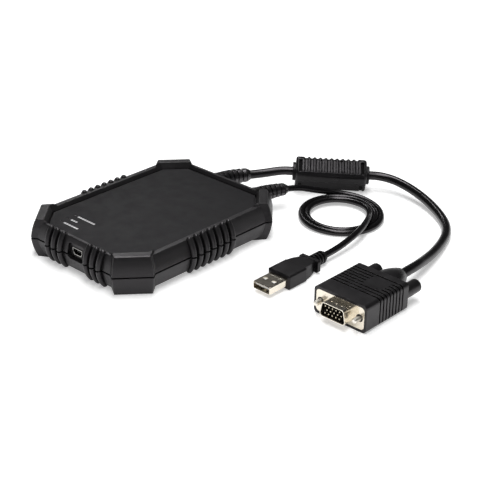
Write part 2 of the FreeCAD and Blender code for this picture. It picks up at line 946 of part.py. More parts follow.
def ferrite_case_upper():
    """Upper half of the case, with wrapped grooves, slots, dents and pockets for the latches."""
    top = ferrite_height / 2
    front = -ferrite_width / 2
    case = ferrite_block(1, 0, ferrite_round)
    pitch = 2 * (ferrite_half - ferrite_plain_end) / (ferrite_groove_count - 1)
    cuts = []
    for width, depth in zip(ferrite_groove_widths, ferrite_groove_depths):
        groove_floor = ferrite_block(1, depth, ferrite_round)
        for index in range(ferrite_groove_count):
            x = (index - (ferrite_groove_count - 1) / 2) * pitch - width / 2
            slab = box(x, x + width, -ferrite_groove_front, LONG, ferrite_groove_foot, LONG)
            cuts.append(slab.cut(groove_floor))
    pocket_front = front + ferrite_latch_wall
    pocket_depth = ferrite_latch_swing + ferrite_latch_thickness + ferrite_latch_gap
    pocket_top = ferrite_latch_height + ferrite_latch_gap
    for x in ferrite_slot_starts():
        end = x + ferrite_slot_width
        cuts.append(box(x, end, -ferrite_slot_front, ferrite_slot_back, top - ferrite_slot_depth, top + OVER))
        cuts.append(box(x, end, pocket_front, pocket_front + pocket_depth, -OVER, pocket_top))
    dent_floor = top - ferrite_dot_depth
    for x in (-ferrite_dot_spread / 2, ferrite_dot_spread / 2):
        cuts.append(rod(ferrite_dot_radius, V(x, ferrite_dot_y, dent_floor), V(x, ferrite_dot_y, top + OVER)))
    case = case.fuse(ferrite_collars(1))
    return case.cut(cuts + ferrite_hollow(ferrite_lid_clearance))


def ferrite_case_lower():
    """Lower half of the case, with its notches and the two latches that stand in the upper half."""
    low = -ferrite_height / 2
    front = -ferrite_width / 2
    case = ferrite_block(-1, 0, ferrite_lower_round)
    pieces = [ferrite_collars(-1)]
    notches = []
    notch_back = front + ferrite_notch_depth
    notch_top = low + ferrite_notch_height
    latch_front = front + ferrite_latch_wall + ferrite_latch_swing
    latch_back = latch_front + ferrite_latch_thickness
    for start in ferrite_slot_starts():
        x0 = start + ferrite_latch_gap
        x1 = start + ferrite_slot_width - ferrite_latch_gap
        pieces.append(box(x0, x1, latch_front, latch_back, -ferrite_latch_root, ferrite_latch_height))
        notch_end = start + ferrite_notch_width
        notches.append(box(start, notch_end, front - OVER, notch_back, low - OVER, notch_top))
    return case.fuse(pieces).cut(ferrite_hollow(0) + notches)


def ferrite_core(side):
    """Half of the ferrite tube."""
    z0, z1 = (0, LONG) if side > 0 else (-LONG, 0)
    tube = rod(core_radius, V(-core_length / 2, 0, 0), V(core_length / 2, 0, 0))
    bore = rod(video_cord_diameter / 2 + core_bore_clearance, V(-LONG, 0, 0), V(LONG, 0, 0))
    return tube.cut(bore).common(box(-LONG, LONG, -LONG, LONG, z0, z1))


def video_cord_middle():
    """Straight stretch of the video cord inside the ferrite."""
    return rod(video_cord_diameter / 2, ferrite_left, ferrite_right)


# Video plug
def dshell_outline(inset, y):
    """D outline with its wide side down and rounded corners."""
    wide = dshell_width / 2 - inset
    narrow = wide - dshell_lean
    half = dshell_height / 2 - inset
    radius = dshell_corner - inset
    corners = [V(-wide, 0, -half), V(wide, 0, -half), V(narrow, 0, half), V(-narrow, 0, half)]
    shift = V(video_plug_x, y, video_plug_z)
    edges = []
    ends = []
    for index, corner in enumerate(corners):
        to_before = (corners[index - 1] - corner).normalize()
        to_after = (corners[(index + 1) % 4] - corner).normalize()
        half_angle = to_before.getAngle(to_after) / 2
        reach = radius / math.tan(half_angle)
        middle = (to_before + to_after).normalize()
        arc_middle = corner + middle * (radius / math.sin(half_angle) - radius)
        start = corner + to_before * reach
        end = corner + to_after * reach
        edges.append(Part.Arc(start + shift, arc_middle + shift, end + shift).toShape())
        ends.append((start + shift, end + shift))
    for index in range(4):
        edges.append(Part.makeLine(ends[index][1], ends[(index + 1) % 4][0]))
    return Part.Wire(Part.sortEdges(edges)[0])


def dshell_prism(inset, y0, y1):
    """D-shaped block between two depths."""
    return Part.Face(dshell_outline(inset, y0)).extrude(BACK * (y1 - y0))


def plug_box(width, height, y0, y1, radius):
    """Block about the video plug's centre line, with rounded long edges."""
    return rounded_box(
        video_plug_x - width / 2, video_plug_x + width / 2, y0, y1,
        video_plug_z - height / 2, video_plug_z + height / 2, radius, BACK,
    )


def thumbscrew_xs():
    """Places of the two thumbscrews across the plug."""
    return [video_plug_x - screw_spacing / 2, video_plug_x + screw_spacing / 2]


def hood_grooves():
    """Grip grooves around the rear of the hood, left out under the smooth pads."""
    inner = plug_box(
        hood_width - 2 * hood_groove_depth, hood_height - 2 * hood_groove_depth,
        hood_front_y, hood_front_y + hood_length, hood_round,
    )
    pad_x = video_plug_x + hood_pad_offset
    pad_start = hood_front_y + hood_pad_start
    pad = rounded_box(
        pad_x - hood_pad_width / 2, pad_x + hood_pad_width / 2,
        pad_start, pad_start + hood_pad_length,
        video_plug_z - hood_height, video_plug_z + hood_height, hood_pad_corner, UP,
    )
    slabs = []
    for index in range(hood_groove_count):
        y = hood_front_y + hood_groove_start + index * hood_groove_pitch
        slab = box(
            video_plug_x - hood_width, video_plug_x + hood_width, y, y + hood_groove_width,
            video_plug_z - hood_height, video_plug_z + hood_height,
        )
        slabs.append(slab.cut([inner, pad]))
    return slabs


def hood_hump():
    """Swelling that carries the cord out of the hood."""
    rear = hood_front_y + hood_length
    stations = [
        (rear - hump_root, hump_half_width, hump_half_height),
        (rear + hump_mid, hump_mid_half_width, hump_mid_half_height),
        (rear + hump_length, hump_end_half_width, hump_end_half_height),
    ]
    wires = []
    for y, wide, tall in stations:
        centre = V(video_plug_x, y, video_plug_z)
        ellipse = Part.Ellipse(centre + V(wide, 0, 0), centre + V(0, 0, tall), centre)
        wires.append(Part.Wire(ellipse.toShape()))
    return Part.makeLoft(wires, True, False)


def video_plug_hood():
    """Moulded hood with grip grooves, smooth pads and the cord's hump."""
    rear_y = hood_front_y + hood_length
    hood = plug_box(hood_width, hood_height, hood_front_y, rear_y, hood_round)
    hood = hood.cut(hood_grooves())
    hood = hood.fuse(hood_hump())
    pocket = plug_box(
        face_width + 2 * face_clearance, face_height + 2 * face_clearance,
        hood_front_y - OVER, hood_front_y + face_thickness, face_corner,
    )
    insulator_end = hood_front_y - dshell_reach + insulator_sink + insulator_length
    room = dshell_prism(-face_clearance, hood_front_y, insulator_end + face_clearance)
    bores = []
    for x in thumbscrew_xs():
        start = V(x, hood_front_y - OVER, video_plug_z)
        bores.append(rod(shank_radius + shank_run, start, V(x, rear_y + OVER, video_plug_z)))
    return hood.cut([pocket, room] + bores)


def video_plug_shell():
    """Metal face with the D-shaped collar and its dimples."""
    back = hood_front_y + face_thickness
    rim_y = hood_front_y - dshell_reach
    plate = plug_box(face_width, face_height, hood_front_y, back, face_corner)
    collar = dshell_prism(0, rim_y, back)
    shell = plate.fuse(collar).cut(dshell_prism(dshell_wall, rim_y - OVER, back + OVER))
    holes = []
    for x in thumbscrew_xs():
        start = V(x, hood_front_y - OVER, video_plug_z)
        holes.append(rod(face_hole_radius, start, V(x, back + OVER, video_plug_z)))
    for row in (-1, 0, 1):
        for side in (-1, 1):
            x = video_plug_x + row * dshell_dimple_pitch
            surface = video_plug_z + side * dshell_height / 2
            outer = V(x, rim_y + dshell_dimple_from_rim, surface + side * OVER)
            holes.append(rod(dshell_dimple_radius, outer, outer - UP * (side * (OVER + dshell_dimple_depth))))
    return shell.cut(holes)


def insulator_face_y():
    """Depth of the insulator's front inside the collar."""
    return hood_front_y - dshell_reach + insulator_sink


def video_plug_insulator():
    """Block that carries the pins."""
    start = insulator_face_y()
    return dshell_prism(dshell_wall, start, start + insulator_length)


def video_plug_pins():
    """Fifteen pins in three rows."""
    tip_y = hood_front_y - dshell_reach + pin_tip_back
    solids = []
    for row in (-1, 0, 1):
        shift = pin_pitch / 4 if row == 0 else -pin_pitch / 4
        for column in (-2, -1, 0, 1, 2):
            x = video_plug_x + column * pin_pitch + shift
            z = video_plug_z + row * pin_row_pitch
            solids.append(rod(pin_radius, V(x, tip_y, z), V(x, insulator_face_y(), z)))
    return Part.makeCompound(solids)


def thumbscrew_rod(x):
    """Metal screw of one thumbscrew: thread in front of the hood, thinner shank through it."""
    tip = hood_front_y - thread_reach
    thread_end = V(x, hood_front_y - thread_stop, video_plug_z)
    shank_end = hood_front_y + hood_length + knob_gap + knob_socket_depth
    thread = rod(thread_radius, V(x, tip, video_plug_z), thread_end)
    tip_edges = [edge for edge in thread.Edges if edge.BoundBox.YMax < tip + TINY]
    thread = thread.makeChamfer(thread_tip, tip_edges)
    return thread.fuse(rod(shank_radius, thread_end, V(x, shank_end, video_plug_z)))


def thumbscrew_knob(x):
    """Plastic knob of one thumbscrew."""
    start = hood_front_y + hood_length + knob_gap
    end = start + knob_length
    knob = rod(knob_radius, V(x, start, video_plug_z), V(x, end, video_plug_z))
    end_edges = [edge for edge in knob.Edges if edge.BoundBox.YMin > end - TINY]
    knob = knob.makeFillet(knob_round, end_edges)
    socket_end = V(x, start + knob_socket_depth, video_plug_z)
    return knob.cut(rod(shank_radius, V(x, start - OVER, video_plug_z), socket_end))


# USB plug
def usb_body_y():
    """Front of the USB plug's overmold."""
    return usb_tip_y + usb_shell_reach


def usb_flange_y():
    """Front of the flange behind the waist."""
    return usb_body_y() + usb_body_length + usb_waist_length + usb_flange_gap


def usb_plug_end_y():
    """Place where the cord leaves the USB plug."""
    return usb_flange_y() + usb_flange_thickness + usb_relief_length


def usb_box(width, height, y0, y1, radius):
    """Block about the USB plug's centre line, with rounded long edges."""
    return rounded_box(
        usb_plug_x - width / 2, usb_plug_x + width / 2, y0, y1,
        usb_plug_z - height / 2, usb_plug_z + height / 2, radius, BACK,
    )


def usb_section(width, height, y):
    """Upright rectangle across the USB plug's centre line."""
    corners = []
    for side, level in ((-1, -1), (1, -1), (1, 1), (-1, 1)):
        corners.append(V(usb_plug_x + side * width / 2, y, usb_plug_z + level * height / 2))
    return Part.makePolygon(corners + corners[:1])


def usb_plug_overmold():
    """Moulded grip with its waist, flange and ringed cord relief."""
    body_y = usb_body_y()
    waist_y = body_y + usb_body_length
    flange_y = usb_flange_y()
    relief_y = flange_y + usb_flange_thickness
    body = usb_box(usb_body_width, usb_body_height, body_y, waist_y, usb_body_round)
    front_edges = [edge for edge in body.Edges if edge.BoundBox.YMax < body_y + TINY]
    body = body.makeChamfer(usb_body_bevel, front_edges)
    waist = Part.makeLoft(
        [
            usb_section(usb_body_width - 2 * usb_body_round, usb_body_height - 2 * TINY, waist_y - usb_joint),
            usb_section(usb_waist_mid_width - usb_body_round, usb_waist_mid_height, waist_y + usb_waist_mid),
            usb_section(usb_waist_width, usb_waist_height, waist_y + usb_waist_length),
        ],
        True, False,
    )
    neck_y = waist_y + usb_waist_length
    neck = usb_box(usb_waist_width, usb_waist_height, neck_y - TINY, flange_y + usb_joint, usb_body_round)
    flange = usb_box(usb_flange_width, usb_flange_height, flange_y, relief_y, usb_body_round)
    core_start = V(usb_plug_x, flange_y, usb_plug_z)
    pieces = [waist, neck, flange]
    pieces.append(rod(usb_relief_core_radius, core_start, V(usb_plug_x, usb_plug_end_y(), usb_plug_z)))
    for index in range(usb_ring_count):
        ring = V(usb_plug_x, relief_y + usb_ring_start + index * usb_ring_pitch, usb_plug_z)
        pieces.append(rod(usb_ring_radius, ring, ring + BACK * usb_ring_width))
    room_end = body_y + usb_shell_embed
    room = usb_box(usb_shell_width, usb_shell_height, body_y - OVER, room_end, usb_shell_round)
    return body.fuse(pieces).cut(room)


def usb_plug_shell():
    """Metal tube of the USB plug, with its four latch holes."""
    end = usb_body_y() + usb_shell_embed
    outer = usb_box(usb_shell_width, usb_shell_height, usb_tip_y, end, usb_shell_round)
    front_edges = [edge for edge in outer.Edges if edge.BoundBox.YMax < usb_tip_y + TINY]
    outer = outer.makeChamfer(usb_shell_edge, front_edges)
    inner = usb_box(
        usb_shell_width - 2 * usb_shell_wall, usb_shell_height - 2 * usb_shell_wall,
        usb_tip_y - OVER, end + OVER, usb_shell_round - usb_shell_wall,
    )
    holes = []
    for side in (-1, 1):
        x = usb_plug_x + side * usb_hole_spread / 2
        y = usb_tip_y + usb_hole_from_tip
        holes.append(
            box(
                x - usb_hole_width / 2, x + usb_hole_width / 2, y, y + usb_hole_length,
                usb_plug_z - usb_shell_height, usb_plug_z + usb_shell_height,
            )
        )
    return outer.cut([inner] + holes)


def usb_tongue_face():
    """Height of the tongue's lower face, which carries the contacts."""
    return usb_plug_z + usb_shell_height / 2 - usb_shell_wall - usb_tongue_height


def usb_plug_tongue():
    """Insulating tongue in the upper half of the metal tube."""
    reach = usb_shell_width / 2 - usb_shell_wall - usb_tongue_clearance
    face = usb_tongue_face()
    return box(
        usb_plug_x - reach, usb_plug_x + reach, usb_tip_y + usb_tongue_sink, usb_body_y() + usb_shell_embed,
        face, face + usb_tongue_height,
    )


def usb_plug_contacts():
    """Four contact strips under the tongue."""
    solids = []
    half = usb_contact_width / 2
    start = usb_tip_y + usb_contact_sink
    face = usb_tongue_face()
    for offset in usb_contact_offsets:
        x = usb_plug_x + offset
        strip = box(x - half, x + half, start, start + usb_contact_length, face - usb_contact_height, face)
        solids.append(strip)
    return Part.makeCompound(solids)


# Write every node
outside = housing_outside()
save("top_shell", top_shell(outside))
save("bottom_shell", bottom_shell(outside))
save("top_panel", top_panel())
save("case_screws", case_screws())
save("main_board", main_board())
save("board_chips", board_chips())
save("cord_headers", cord_headers())
save("status_lights", status_lights())
save("mini_socket_shell", mini_socket_shell())
save("mini_socket_insulator", mini_socket_insulator())
save("video_boot", boot(video_boot_x, video_boot_turn, video_boot_last_radius, video_cord_diameter))
save("usb_boot", boot(usb_boot_x, usb_boot_turn, usb_boot_last_radius, usb_cord_diameter))
save("video_cord_inner", video_cord_inner())
save("video_cord_middle", video_cord_middle())
save("video_cord_outer", video_cord_outer())
save("ferrite_case_upper", ferrite_place(ferrite_case_upper()))
save("ferrite_case_lower", ferrite_place(ferrite_case_lower()))
save("ferrite_core_upper", ferrite_place(ferrite_core(1)))
save("ferrite_core_lower", ferrite_place(ferrite_core(-1)))
save("video_plug_hood", video_plug_hood())
save("video_plug_shell", video_plug_shell())
save("video_plug_insulator", video_plug_insulator())
save("video_plug_pins", video_plug_pins())
for side, x in zip(("left", "right"), thumbscrew_xs()):
    save("thumbscrew_rod_" + side, thumbscrew_rod(x))
    save("thumbscrew_knob_" + side, thumbscrew_knob(x))
save("usb_cord_lead", usb_cord_lead())
save("usb_cord_coil", usb_cord_coil())
save("usb_cord_tail", usb_cord_tail())
save("usb_plug_overmold", usb_plug_overmold())
save("usb_plug_shell", usb_plug_shell())
save("usb_plug_tongue", usb_plug_tongue())
save("usb_plug_contacts", usb_plug_contacts())
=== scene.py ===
import bmesh
import bpy
import math
from mathutils import Matrix, Quaternion, Vector


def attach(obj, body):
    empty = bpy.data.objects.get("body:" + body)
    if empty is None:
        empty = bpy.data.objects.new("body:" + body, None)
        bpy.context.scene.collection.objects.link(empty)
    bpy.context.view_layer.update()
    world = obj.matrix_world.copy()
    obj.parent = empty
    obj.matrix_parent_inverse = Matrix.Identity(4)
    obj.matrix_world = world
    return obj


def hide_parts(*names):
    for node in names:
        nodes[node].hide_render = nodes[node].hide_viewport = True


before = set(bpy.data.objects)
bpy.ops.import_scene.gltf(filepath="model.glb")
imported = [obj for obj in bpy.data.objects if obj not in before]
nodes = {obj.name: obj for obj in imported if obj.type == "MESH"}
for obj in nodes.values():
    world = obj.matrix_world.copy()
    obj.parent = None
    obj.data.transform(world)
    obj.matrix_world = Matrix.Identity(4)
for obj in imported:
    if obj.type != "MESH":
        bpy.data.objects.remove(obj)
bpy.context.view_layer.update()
scene = bpy.context.scene
MM = 0.001

# Camera, as fitted to the photograph, in degrees and millimetres
view_azimuth = 43.317
view_elevation = 26.794
view_roll = 0.405
view_target = (34.9, 32.9, 0.0)
view_distance = 700.0
view_nearest = 10.0
view_lens = 92.37
sensor_width = 36.0

# Cord sizes and routes, in millimetres, as in the solids
video_cord_diameter = 5.4
video_route = [
    (-6.67, 85.40, 11.2),
    (-2.86, 91.27, 11.2),
    (4.39, 101.93, 12.31),
    (9.6, 106.6, 12.0),
    (44.4, 137.8, 9.9),
    (49.01, 141.93, 9.62),
    (54.6, 144.6, 9.0),
    (61.5, 145.8, 8.2),
    (71.6, 145.3, 6.9),
    (83.4, 142.2, 5.5),
    (94.2, 137.3, 4.5),
    (103.6, 131.6, 3.8),
    (111.8, 124.8, 3.2),
    (118.0, 116.2, 2.9),
    (122.6, 105.4, 3.0),
    (126.9, 92.6, 3.9),
    (130.3, 79.2, 5.2),
    (134.0, 62.4, 7.8),
    (134.0, 50.4, 7.8),
]
usb_cord_diameter = 3.7
usb_lead_route = [
    (23.55, 85.80, 11.2),
    (26.83, 91.98, 11.2),
    (31.6, 101.0, 8.0),
    (37.4, 110.2, 5.6),
    (44.6, 116.8, 4.2),
    (52.2, 120.2, 3.2),
    (59.8, 120.6, 2.4),
    (66.8, 118.6, 1.9),
]
usb_tail_route = [
    (77.0, 96.2, 5.4),
    (81.2, 87.4, 6.2),
    (84.4, 77.4, 6.2),
    (86.2, 66.8, 5.6),
    (86.7, 54.6, 4.2),
    (86.7, 45.0, 4.2),
]
cord_round_steps = 8
cord_length_steps = 10

# Coil of the USB cord, in degrees and millimetres, with its rise at the end and at the far side
coil_centre = (57.3, 94.5)
coil_start_angle = 70.0
coil_turn = 760.4
coil_steps = 34
coil_outer_radius = 24.6
coil_inner_radius = 17.4
coil_height = 1.9
coil_lift = 1.3
coil_lift_steps = 3
coil_far_angle = 137.0
coil_far_lift = 1.8
coil_far_steps = 9

# Plain printed dashes beside the status lights, in millimetres, and the place and length of each row
mark_left = -23.2
mark_height = 1.2
mark_dash = 1.5
mark_gap = 0.35
mark_thickness = 0.02
panel_top = 18.9
mark_rows = [(-36.2, 13.8), (-41.2, 5.0), (-46.2, 11.6)]

# Ferrite's own frame: two places on its axis, its roll in degrees, and its end faces in millimetres
ferrite_axis = (video_route[3], video_route[4])
ferrite_roll = 27.0
ferrite_end = 21.69

# Blocks at the ferrite's right end, as ranges in its own frame: a dark block of painted shade inside a
# slot, and the cut of a notch
painted_slot_shade_block = ((17.95, 19.95), (-5.55, 3.55), (4.05, 6.7))
notch_block = ((17.75, 19.6), (-8.0, -6.3), (-5.7, -1.5))

# Rounded ends of the ferrite's case, in millimetres, square millimetres and degrees
round_radius = 1.5
round_steps = 4
round_profile = 0.5
merge_distance = 0.001
place_slack = 0.02
level_angle = 2.0
outer_edge_angle = 57.0
crease_angle = 35.0
flat_area = 5.0

# Corners of a block's faces: the lower ring is 0 to 3 and the upper ring 4 to 7
block_faces = [(0, 3, 2, 1), (4, 5, 6, 7), (0, 1, 5, 4), (1, 2, 6, 5), (2, 3, 7, 6), (3, 0, 4, 7)]


def metres(place):
    """A place in millimetres as a vector in metres."""
    return Vector(place) * MM


def link(name, data):
    """New object in the scene."""
    obj = bpy.data.objects.new(name, data)
    scene.collection.objects.link(obj)
    return obj


def make_camera():
    """Camera at the photograph's view."""
    data = bpy.data.cameras.new("camera")
    data.sensor_width = sensor_width
    data.lens = view_lens
    data.clip_start = view_nearest * MM
    azimuth = math.radians(view_azimuth)
    elevation = math.radians(view_elevation)
    away = Vector(
        (
            math.sin(azimuth) * math.cos(elevation),
            -math.cos(azimuth) * math.cos(elevation),
            math.sin(elevation),
        )
    )
    camera = link("camera", data)
    turn = Matrix.Rotation(azimuth, 4, "Z") @ Matrix.Rotation(math.pi / 2 - elevation, 4, "X")
    turn = turn @ Matrix.Rotation(math.radians(view_roll), 4, "Z")
    eye = metres(view_target) + away * (view_distance * MM)
    camera.matrix_world = Matrix.Translation(eye) @ turn
    scene.camera = camera


def make_cord(name, points, diameter):
    """Round cord along a smooth line that follows the route."""
    data = bpy.data.curves.new(name, "CURVE")
    data.dimensions = "3D"
    data.bevel_depth = diameter * MM / 2
    data.bevel_resolution = cord_round_steps
    data.resolution_u = cord_length_steps
    data.use_fill_caps = True
    spline = data.splines.new("NURBS")
    spline.points.add(len(points) - 1)
    for point, place in zip(spline.points, points):
        point.co = (*metres(place), 1.0)
    spline.order_u = 3
    spline.use_endpoint_u = True
    return link(name, data)


def coil_points():
    """Points of the turns, wound inwards, which rise at the far side and at the end."""
    step = coil_turn / coil_steps
    spread = 1 / math.cos(math.radians(step / 2))
    points = []
    for index in range(1, coil_steps + 1):
        angle = math.radians(coil_start_angle - index * step)
        share = index / coil_steps
        radius = (coil_outer_radius + (coil_inner_radius - coil_outer_radius) * share) * spread
        lift = max(0, index - coil_steps + coil_lift_steps) / coil_lift_steps * coil_lift
        far = (1 + math.cos(angle - math.radians(coil_far_angle))) / 2
        lift += coil_far_lift * far * min(1, index / coil_far_steps)
        points.append(
            (
                coil_centre[0] + radius * math.cos(angle),
                coil_centre[1] + radius * math.sin(angle),
                coil_height + lift,
            )
        )
    return points


def make_blocks(name, blocks, place=Matrix()):
    """Plain blocks, each given by its ranges in millimetres, put in place together."""
    points = []
    faces = []
    for (x0, x1), (y0, y1), levels in blocks:
        base = len(points)
        for z in levels:
            for x, y in ((x0, y0), (x1, y0), (x1, y1), (x0, y1)):
                points.append(place @ metres((x, y, z)))
        for corners in block_faces:
            faces.append([base + corner for corner in corners])
    mesh = bpy.data.meshes.new(name)
    mesh.from_pydata(points, [], faces)
    return link(name, mesh)


def make_marks():
    """Rows of plain dashes printed on the panel beside the status lights."""
    blocks = []
    level = (panel_top, panel_top + mark_thickness)
    for middle, length in mark_rows:
        across = (middle - mark_height / 2, middle + mark_height / 2)
        count = round((length + mark_gap) / (mark_dash + mark_gap))
        pitch = (length + mark_gap) / count
        for index in range(count):
            start = mark_left + index * pitch
            blocks.append(((start, start + pitch - mark_gap), across, level))
    return make_blocks("light_marks", blocks)


def ferrite_place():
    """Place of the ferrite's own frame, with its length along X."""
    left, right = (metres(end) for end in ferrite_axis)
    axis = (right - left).normalized()
    level_side = Vector((0, 0, 1)).cross(axis).normalized()
    turn = Matrix((axis, level_side, axis.cross(level_side))).transposed().to_4x4()
    roll = Matrix.Rotation(math.radians(ferrite_roll), 4, "X")
    return Matrix.Translation((left + right) / 2) @ turn @ roll


def make_end_blocks(name, block):
    """A block at the ferrite's right end and its mirror image at the left end."""
    (low, high), across, levels = block
    return make_blocks(name, [((-high, -low), across, levels), block], ferrite_place())


def rounded_edges(work):
    """Outer edges of the end faces, without those on the seam between the halves."""
    to_own = ferrite_place().inverted()
    edges = []
    for edge in work.edges:
        corners = [to_own @ corner.co / MM for corner in edge.verts]
        at_end = all(abs(abs(corner.x) - ferrite_end) < place_slack for corner in corners)
        at_seam = all(abs(corner.z) < place_slack for corner in corners)
        is_outer = edge.calc_face_angle_signed(0) > math.radians(outer_edge_angle)
        if at_end and is_outer and not at_seam:
            edges.append(edge)
    return edges


def make_rounded_half(name, node):
    """Half of the ferrite's case with the outer edges of its ends rounded."""
    work = bmesh.new()
    work.from_mesh(nodes[node].data)
    bmesh.ops.remove_doubles(work, verts=work.verts, dist=merge_distance * MM)
    bmesh.ops.dissolve_limit(
        work, angle_limit=math.radians(level_angle), verts=work.verts, edges=work.edges
    )
    bmesh.ops.bevel(
        work, geom=rounded_edges(work), offset=round_radius * MM, segments=round_steps,
        profile=round_profile, affect="EDGES", clamp_overlap=False,
    )
    # Corners that only divide one edge would leave folded faces
    spare = [corner for corner in work.verts if len(corner.link_edges) == 2]
    bmesh.ops.dissolve_verts(work, verts=spare)
    mesh = bpy.data.meshes.new(name)
    work.to_mesh(mesh)
    work.free()
    mesh.set_sharp_from_angle(angle=math.radians(crease_angle))
    for face in mesh.polygons:
        face.use_smooth = face.area < flat_area * MM * MM
    return link(name, mesh)


def cut_notches(half):
    """Notches low on the near side of a half of the ferrite's case."""
    cutter = make_end_blocks("cutter", notch_block)
    cut = half.modifiers.new("notches", "BOOLEAN")
    cut.operation = "DIFFERENCE"
    cut.object = cutter
    bpy.context.view_layer.update()
    shaped = half.evaluated_get(bpy.context.evaluated_depsgraph_get())
    half.data = bpy.data.meshes.new_from_object(shaped)
    half.modifiers.clear()
    bpy.data.objects.remove(cutter)


make_camera()
light_marks = make_marks()
# Dark blocks inside the lid's slots, as painted shade
painted_slot_shade = make_end_blocks("painted_slot_shade", painted_slot_shade_block)
upper_half = make_rounded_half("ferrite_upper_half", "ferrite_case_upper")
lower_half = make_rounded_half("ferrite_lower_half", "ferrite_case_lower")
cut_notches(lower_half)
video_cord = make_cord("video_cord", video_route, video_cord_diameter)
usb_cord = make_cord("usb_cord", usb_lead_route + coil_points() + usb_tail_route, usb_cord_diameter)


# Materials: range of the noise that is used, and samples of softened edges and of the painted shade in
# hollows
noise_range = (0.3, 0.7)
edge_samples = 4
painted_shade_samples = 8

# Painted shade in hollows: reach in metres, openness from the dullest to the full shine, and the share of
# shine that is left
painted_shade_reach = 0.004
ring_painted_shade_reach = 0.0015
painted_shade_openness = (0.4, 0.75)
painted_shade_shine = 0.05

# Plastic: tint of its shine, noises as features per metre and detail, and how far tone and roughness drift
plastic_shine_tint = (1.0, 0.95, 0.99, 1)
plastic_tone_noise = (90, 3)
plastic_tones = (0.88, 1.12)
plastic_rough_noise = (140, 3)
plastic_rough_drift = (-0.05, 0.05)
plastic_grain_detail = 1
plastic_grain_depth = 0.00006

# Metal: noises as features per metre and detail, and how far tone and roughness drift
metal_tone_noise = (160, 3)
metal_tones = (0.95, 1.04)
metal_rough_noise = (420, 4)
metal_rough_drift = (-0.03, 0.04)
metal_grain_noise = (300, 2)
metal_grain_strength = 0.03
metal_grain_depth = 0.00002

# Studio: sines of the heights where the pale horizon ends and the dim ceiling starts, and their strengths
white = (1, 1, 1, 1)
horizon_height = 0.02
dim_height = 0.26
horizon_strength = 0.75
dim_strength = 0.045

# Floor, in metres: half its width, its finish, its glow near and far, and the share of it that is mirrored
floor_half_width = 4.0
floor_rough = 0.9
floor_shine = 0.1
floor_tone_noise = (30, 2)
floor_tones = (0.88, 0.90)
floor_reach = (0.35, 1.1)
floor_glow = (0.42, 1.0)
floor_mirrored = 0.6


class NodeTree:
    """Node tree of a material or world, with short ways to add nodes."""

    def __init__(self, owner):
        owner.use_nodes = True
        self.tree = owner.node_tree

    def add(self, kind, **settings):
        """New node with the given settings."""
        node = self.tree.nodes.new(kind)
        for key, value in settings.items():
            setattr(node, key, value)
        return node

    def join(self, source, target):
        """Link two sockets."""
        self.tree.links.new(source, target)

    def spread(self, value, taken, given, **settings):
        """A value brought from one range to another."""
        node = self.add("ShaderNodeMapRange", **settings)
        node.inputs["From Min"].default_value = taken[0]
        node.inputs["From Max"].default_value = taken[1]
        node.inputs["To Min"].default_value = given[0]
        node.inputs["To Max"].default_value = given[1]
        self.join(value, node.inputs["Value"])
        return node.outputs["Result"]

    def combine(self, operation, first, second):
        """Two values made into one."""
        node = self.add("ShaderNodeMath", operation=operation)
        self.join(first, node.inputs[0])
        self.join(second, node.inputs[1])
        return node.outputs[0]


class Shader(NodeTree):
    """New material, with short ways to shape its surface."""

    def __init__(self, name):
        self.material = bpy.data.materials.new(name)
        super().__init__(self.material)
        self.surface = self.tree.nodes["Principled BSDF"].inputs
        self.place = self.add("ShaderNodeTexCoord").outputs["Object"]

    def noise(self, scale, detail):
        """Noise in the object's own space, with features of about one over scale metres."""
        node = self.add("ShaderNodeTexNoise")
        node.inputs["Scale"].default_value = scale
        node.inputs["Detail"].default_value = detail
        self.join(self.place, node.inputs["Vector"])
        return node.outputs["Fac"]

    def colours(self, factor, colour, tones):
        """Colour that drifts between a darker and a lighter tone."""
        ramp = self.add("ShaderNodeValToRGB")
        for element, position, tone in zip(ramp.color_ramp.elements, noise_range, tones):
            element.position = position
            element.color = (*(part * tone for part in colour), 1)
        self.join(factor, ramp.inputs["Fac"])
        self.join(ramp.outputs["Color"], self.surface["Base Color"])
        return ramp.outputs["Color"]

    def roughness(self, factor, middle, drift):
        """Roughness that drifts about a middle value."""
        limits = (middle + drift[0], middle + drift[1])
        self.join(self.spread(factor, noise_range, limits), self.surface["Roughness"])

    def hollows(self, reach):
        """How open each place is to its surroundings, within a reach, for painting shade into hollows."""
        node = self.add("ShaderNodeAmbientOcclusion", samples=painted_shade_samples, only_local=True)
        node.inputs["Distance"].default_value = reach
        return node

    def relief(self, factor, strength, depth, edge):
        """Fine bumps on edges that are softened by a small radius."""
        soft_edge = self.add("ShaderNodeBevel", samples=edge_samples)
        soft_edge.inputs["Radius"].default_value = edge
        bump = self.add("ShaderNodeBump")
        bump.inputs["Strength"].default_value = strength
        bump.inputs["Distance"].default_value = depth
        self.join(factor, bump.inputs["Height"])
        self.join(soft_edge.outputs["Normal"], bump.inputs["Normal"])
        self.join(bump.outputs["Normal"], self.surface["Normal"])


def moulded(name, colour, rough, shine, grain, strength, edge, reach=painted_shade_reach):
    """Moulded plastic or rubber with a fine grain, with painted shade that turns its shine down in its
    hollows.
    """
    shader = Shader(name)
    # Painted shade: the shine is turned down where the surface is closed in
    openness = shader.hollows(reach).outputs["AO"]
    shine_with_painted_shade = shader.spread(openness, painted_shade_openness, (shine * painted_shade_shine, shine))
    shader.join(shine_with_painted_shade, shader.surface["Specular IOR Level"])
    shader.surface["Specular Tint"].default_value = plastic_shine_tint
    shader.colours(shader.noise(*plastic_tone_noise), colour, plastic_tones)
    shader.roughness(shader.noise(*plastic_rough_noise), rough, plastic_rough_drift)
    shader.relief(shader.noise(grain, plastic_grain_detail), strength, plastic_grain_depth, edge)
    return shader.material


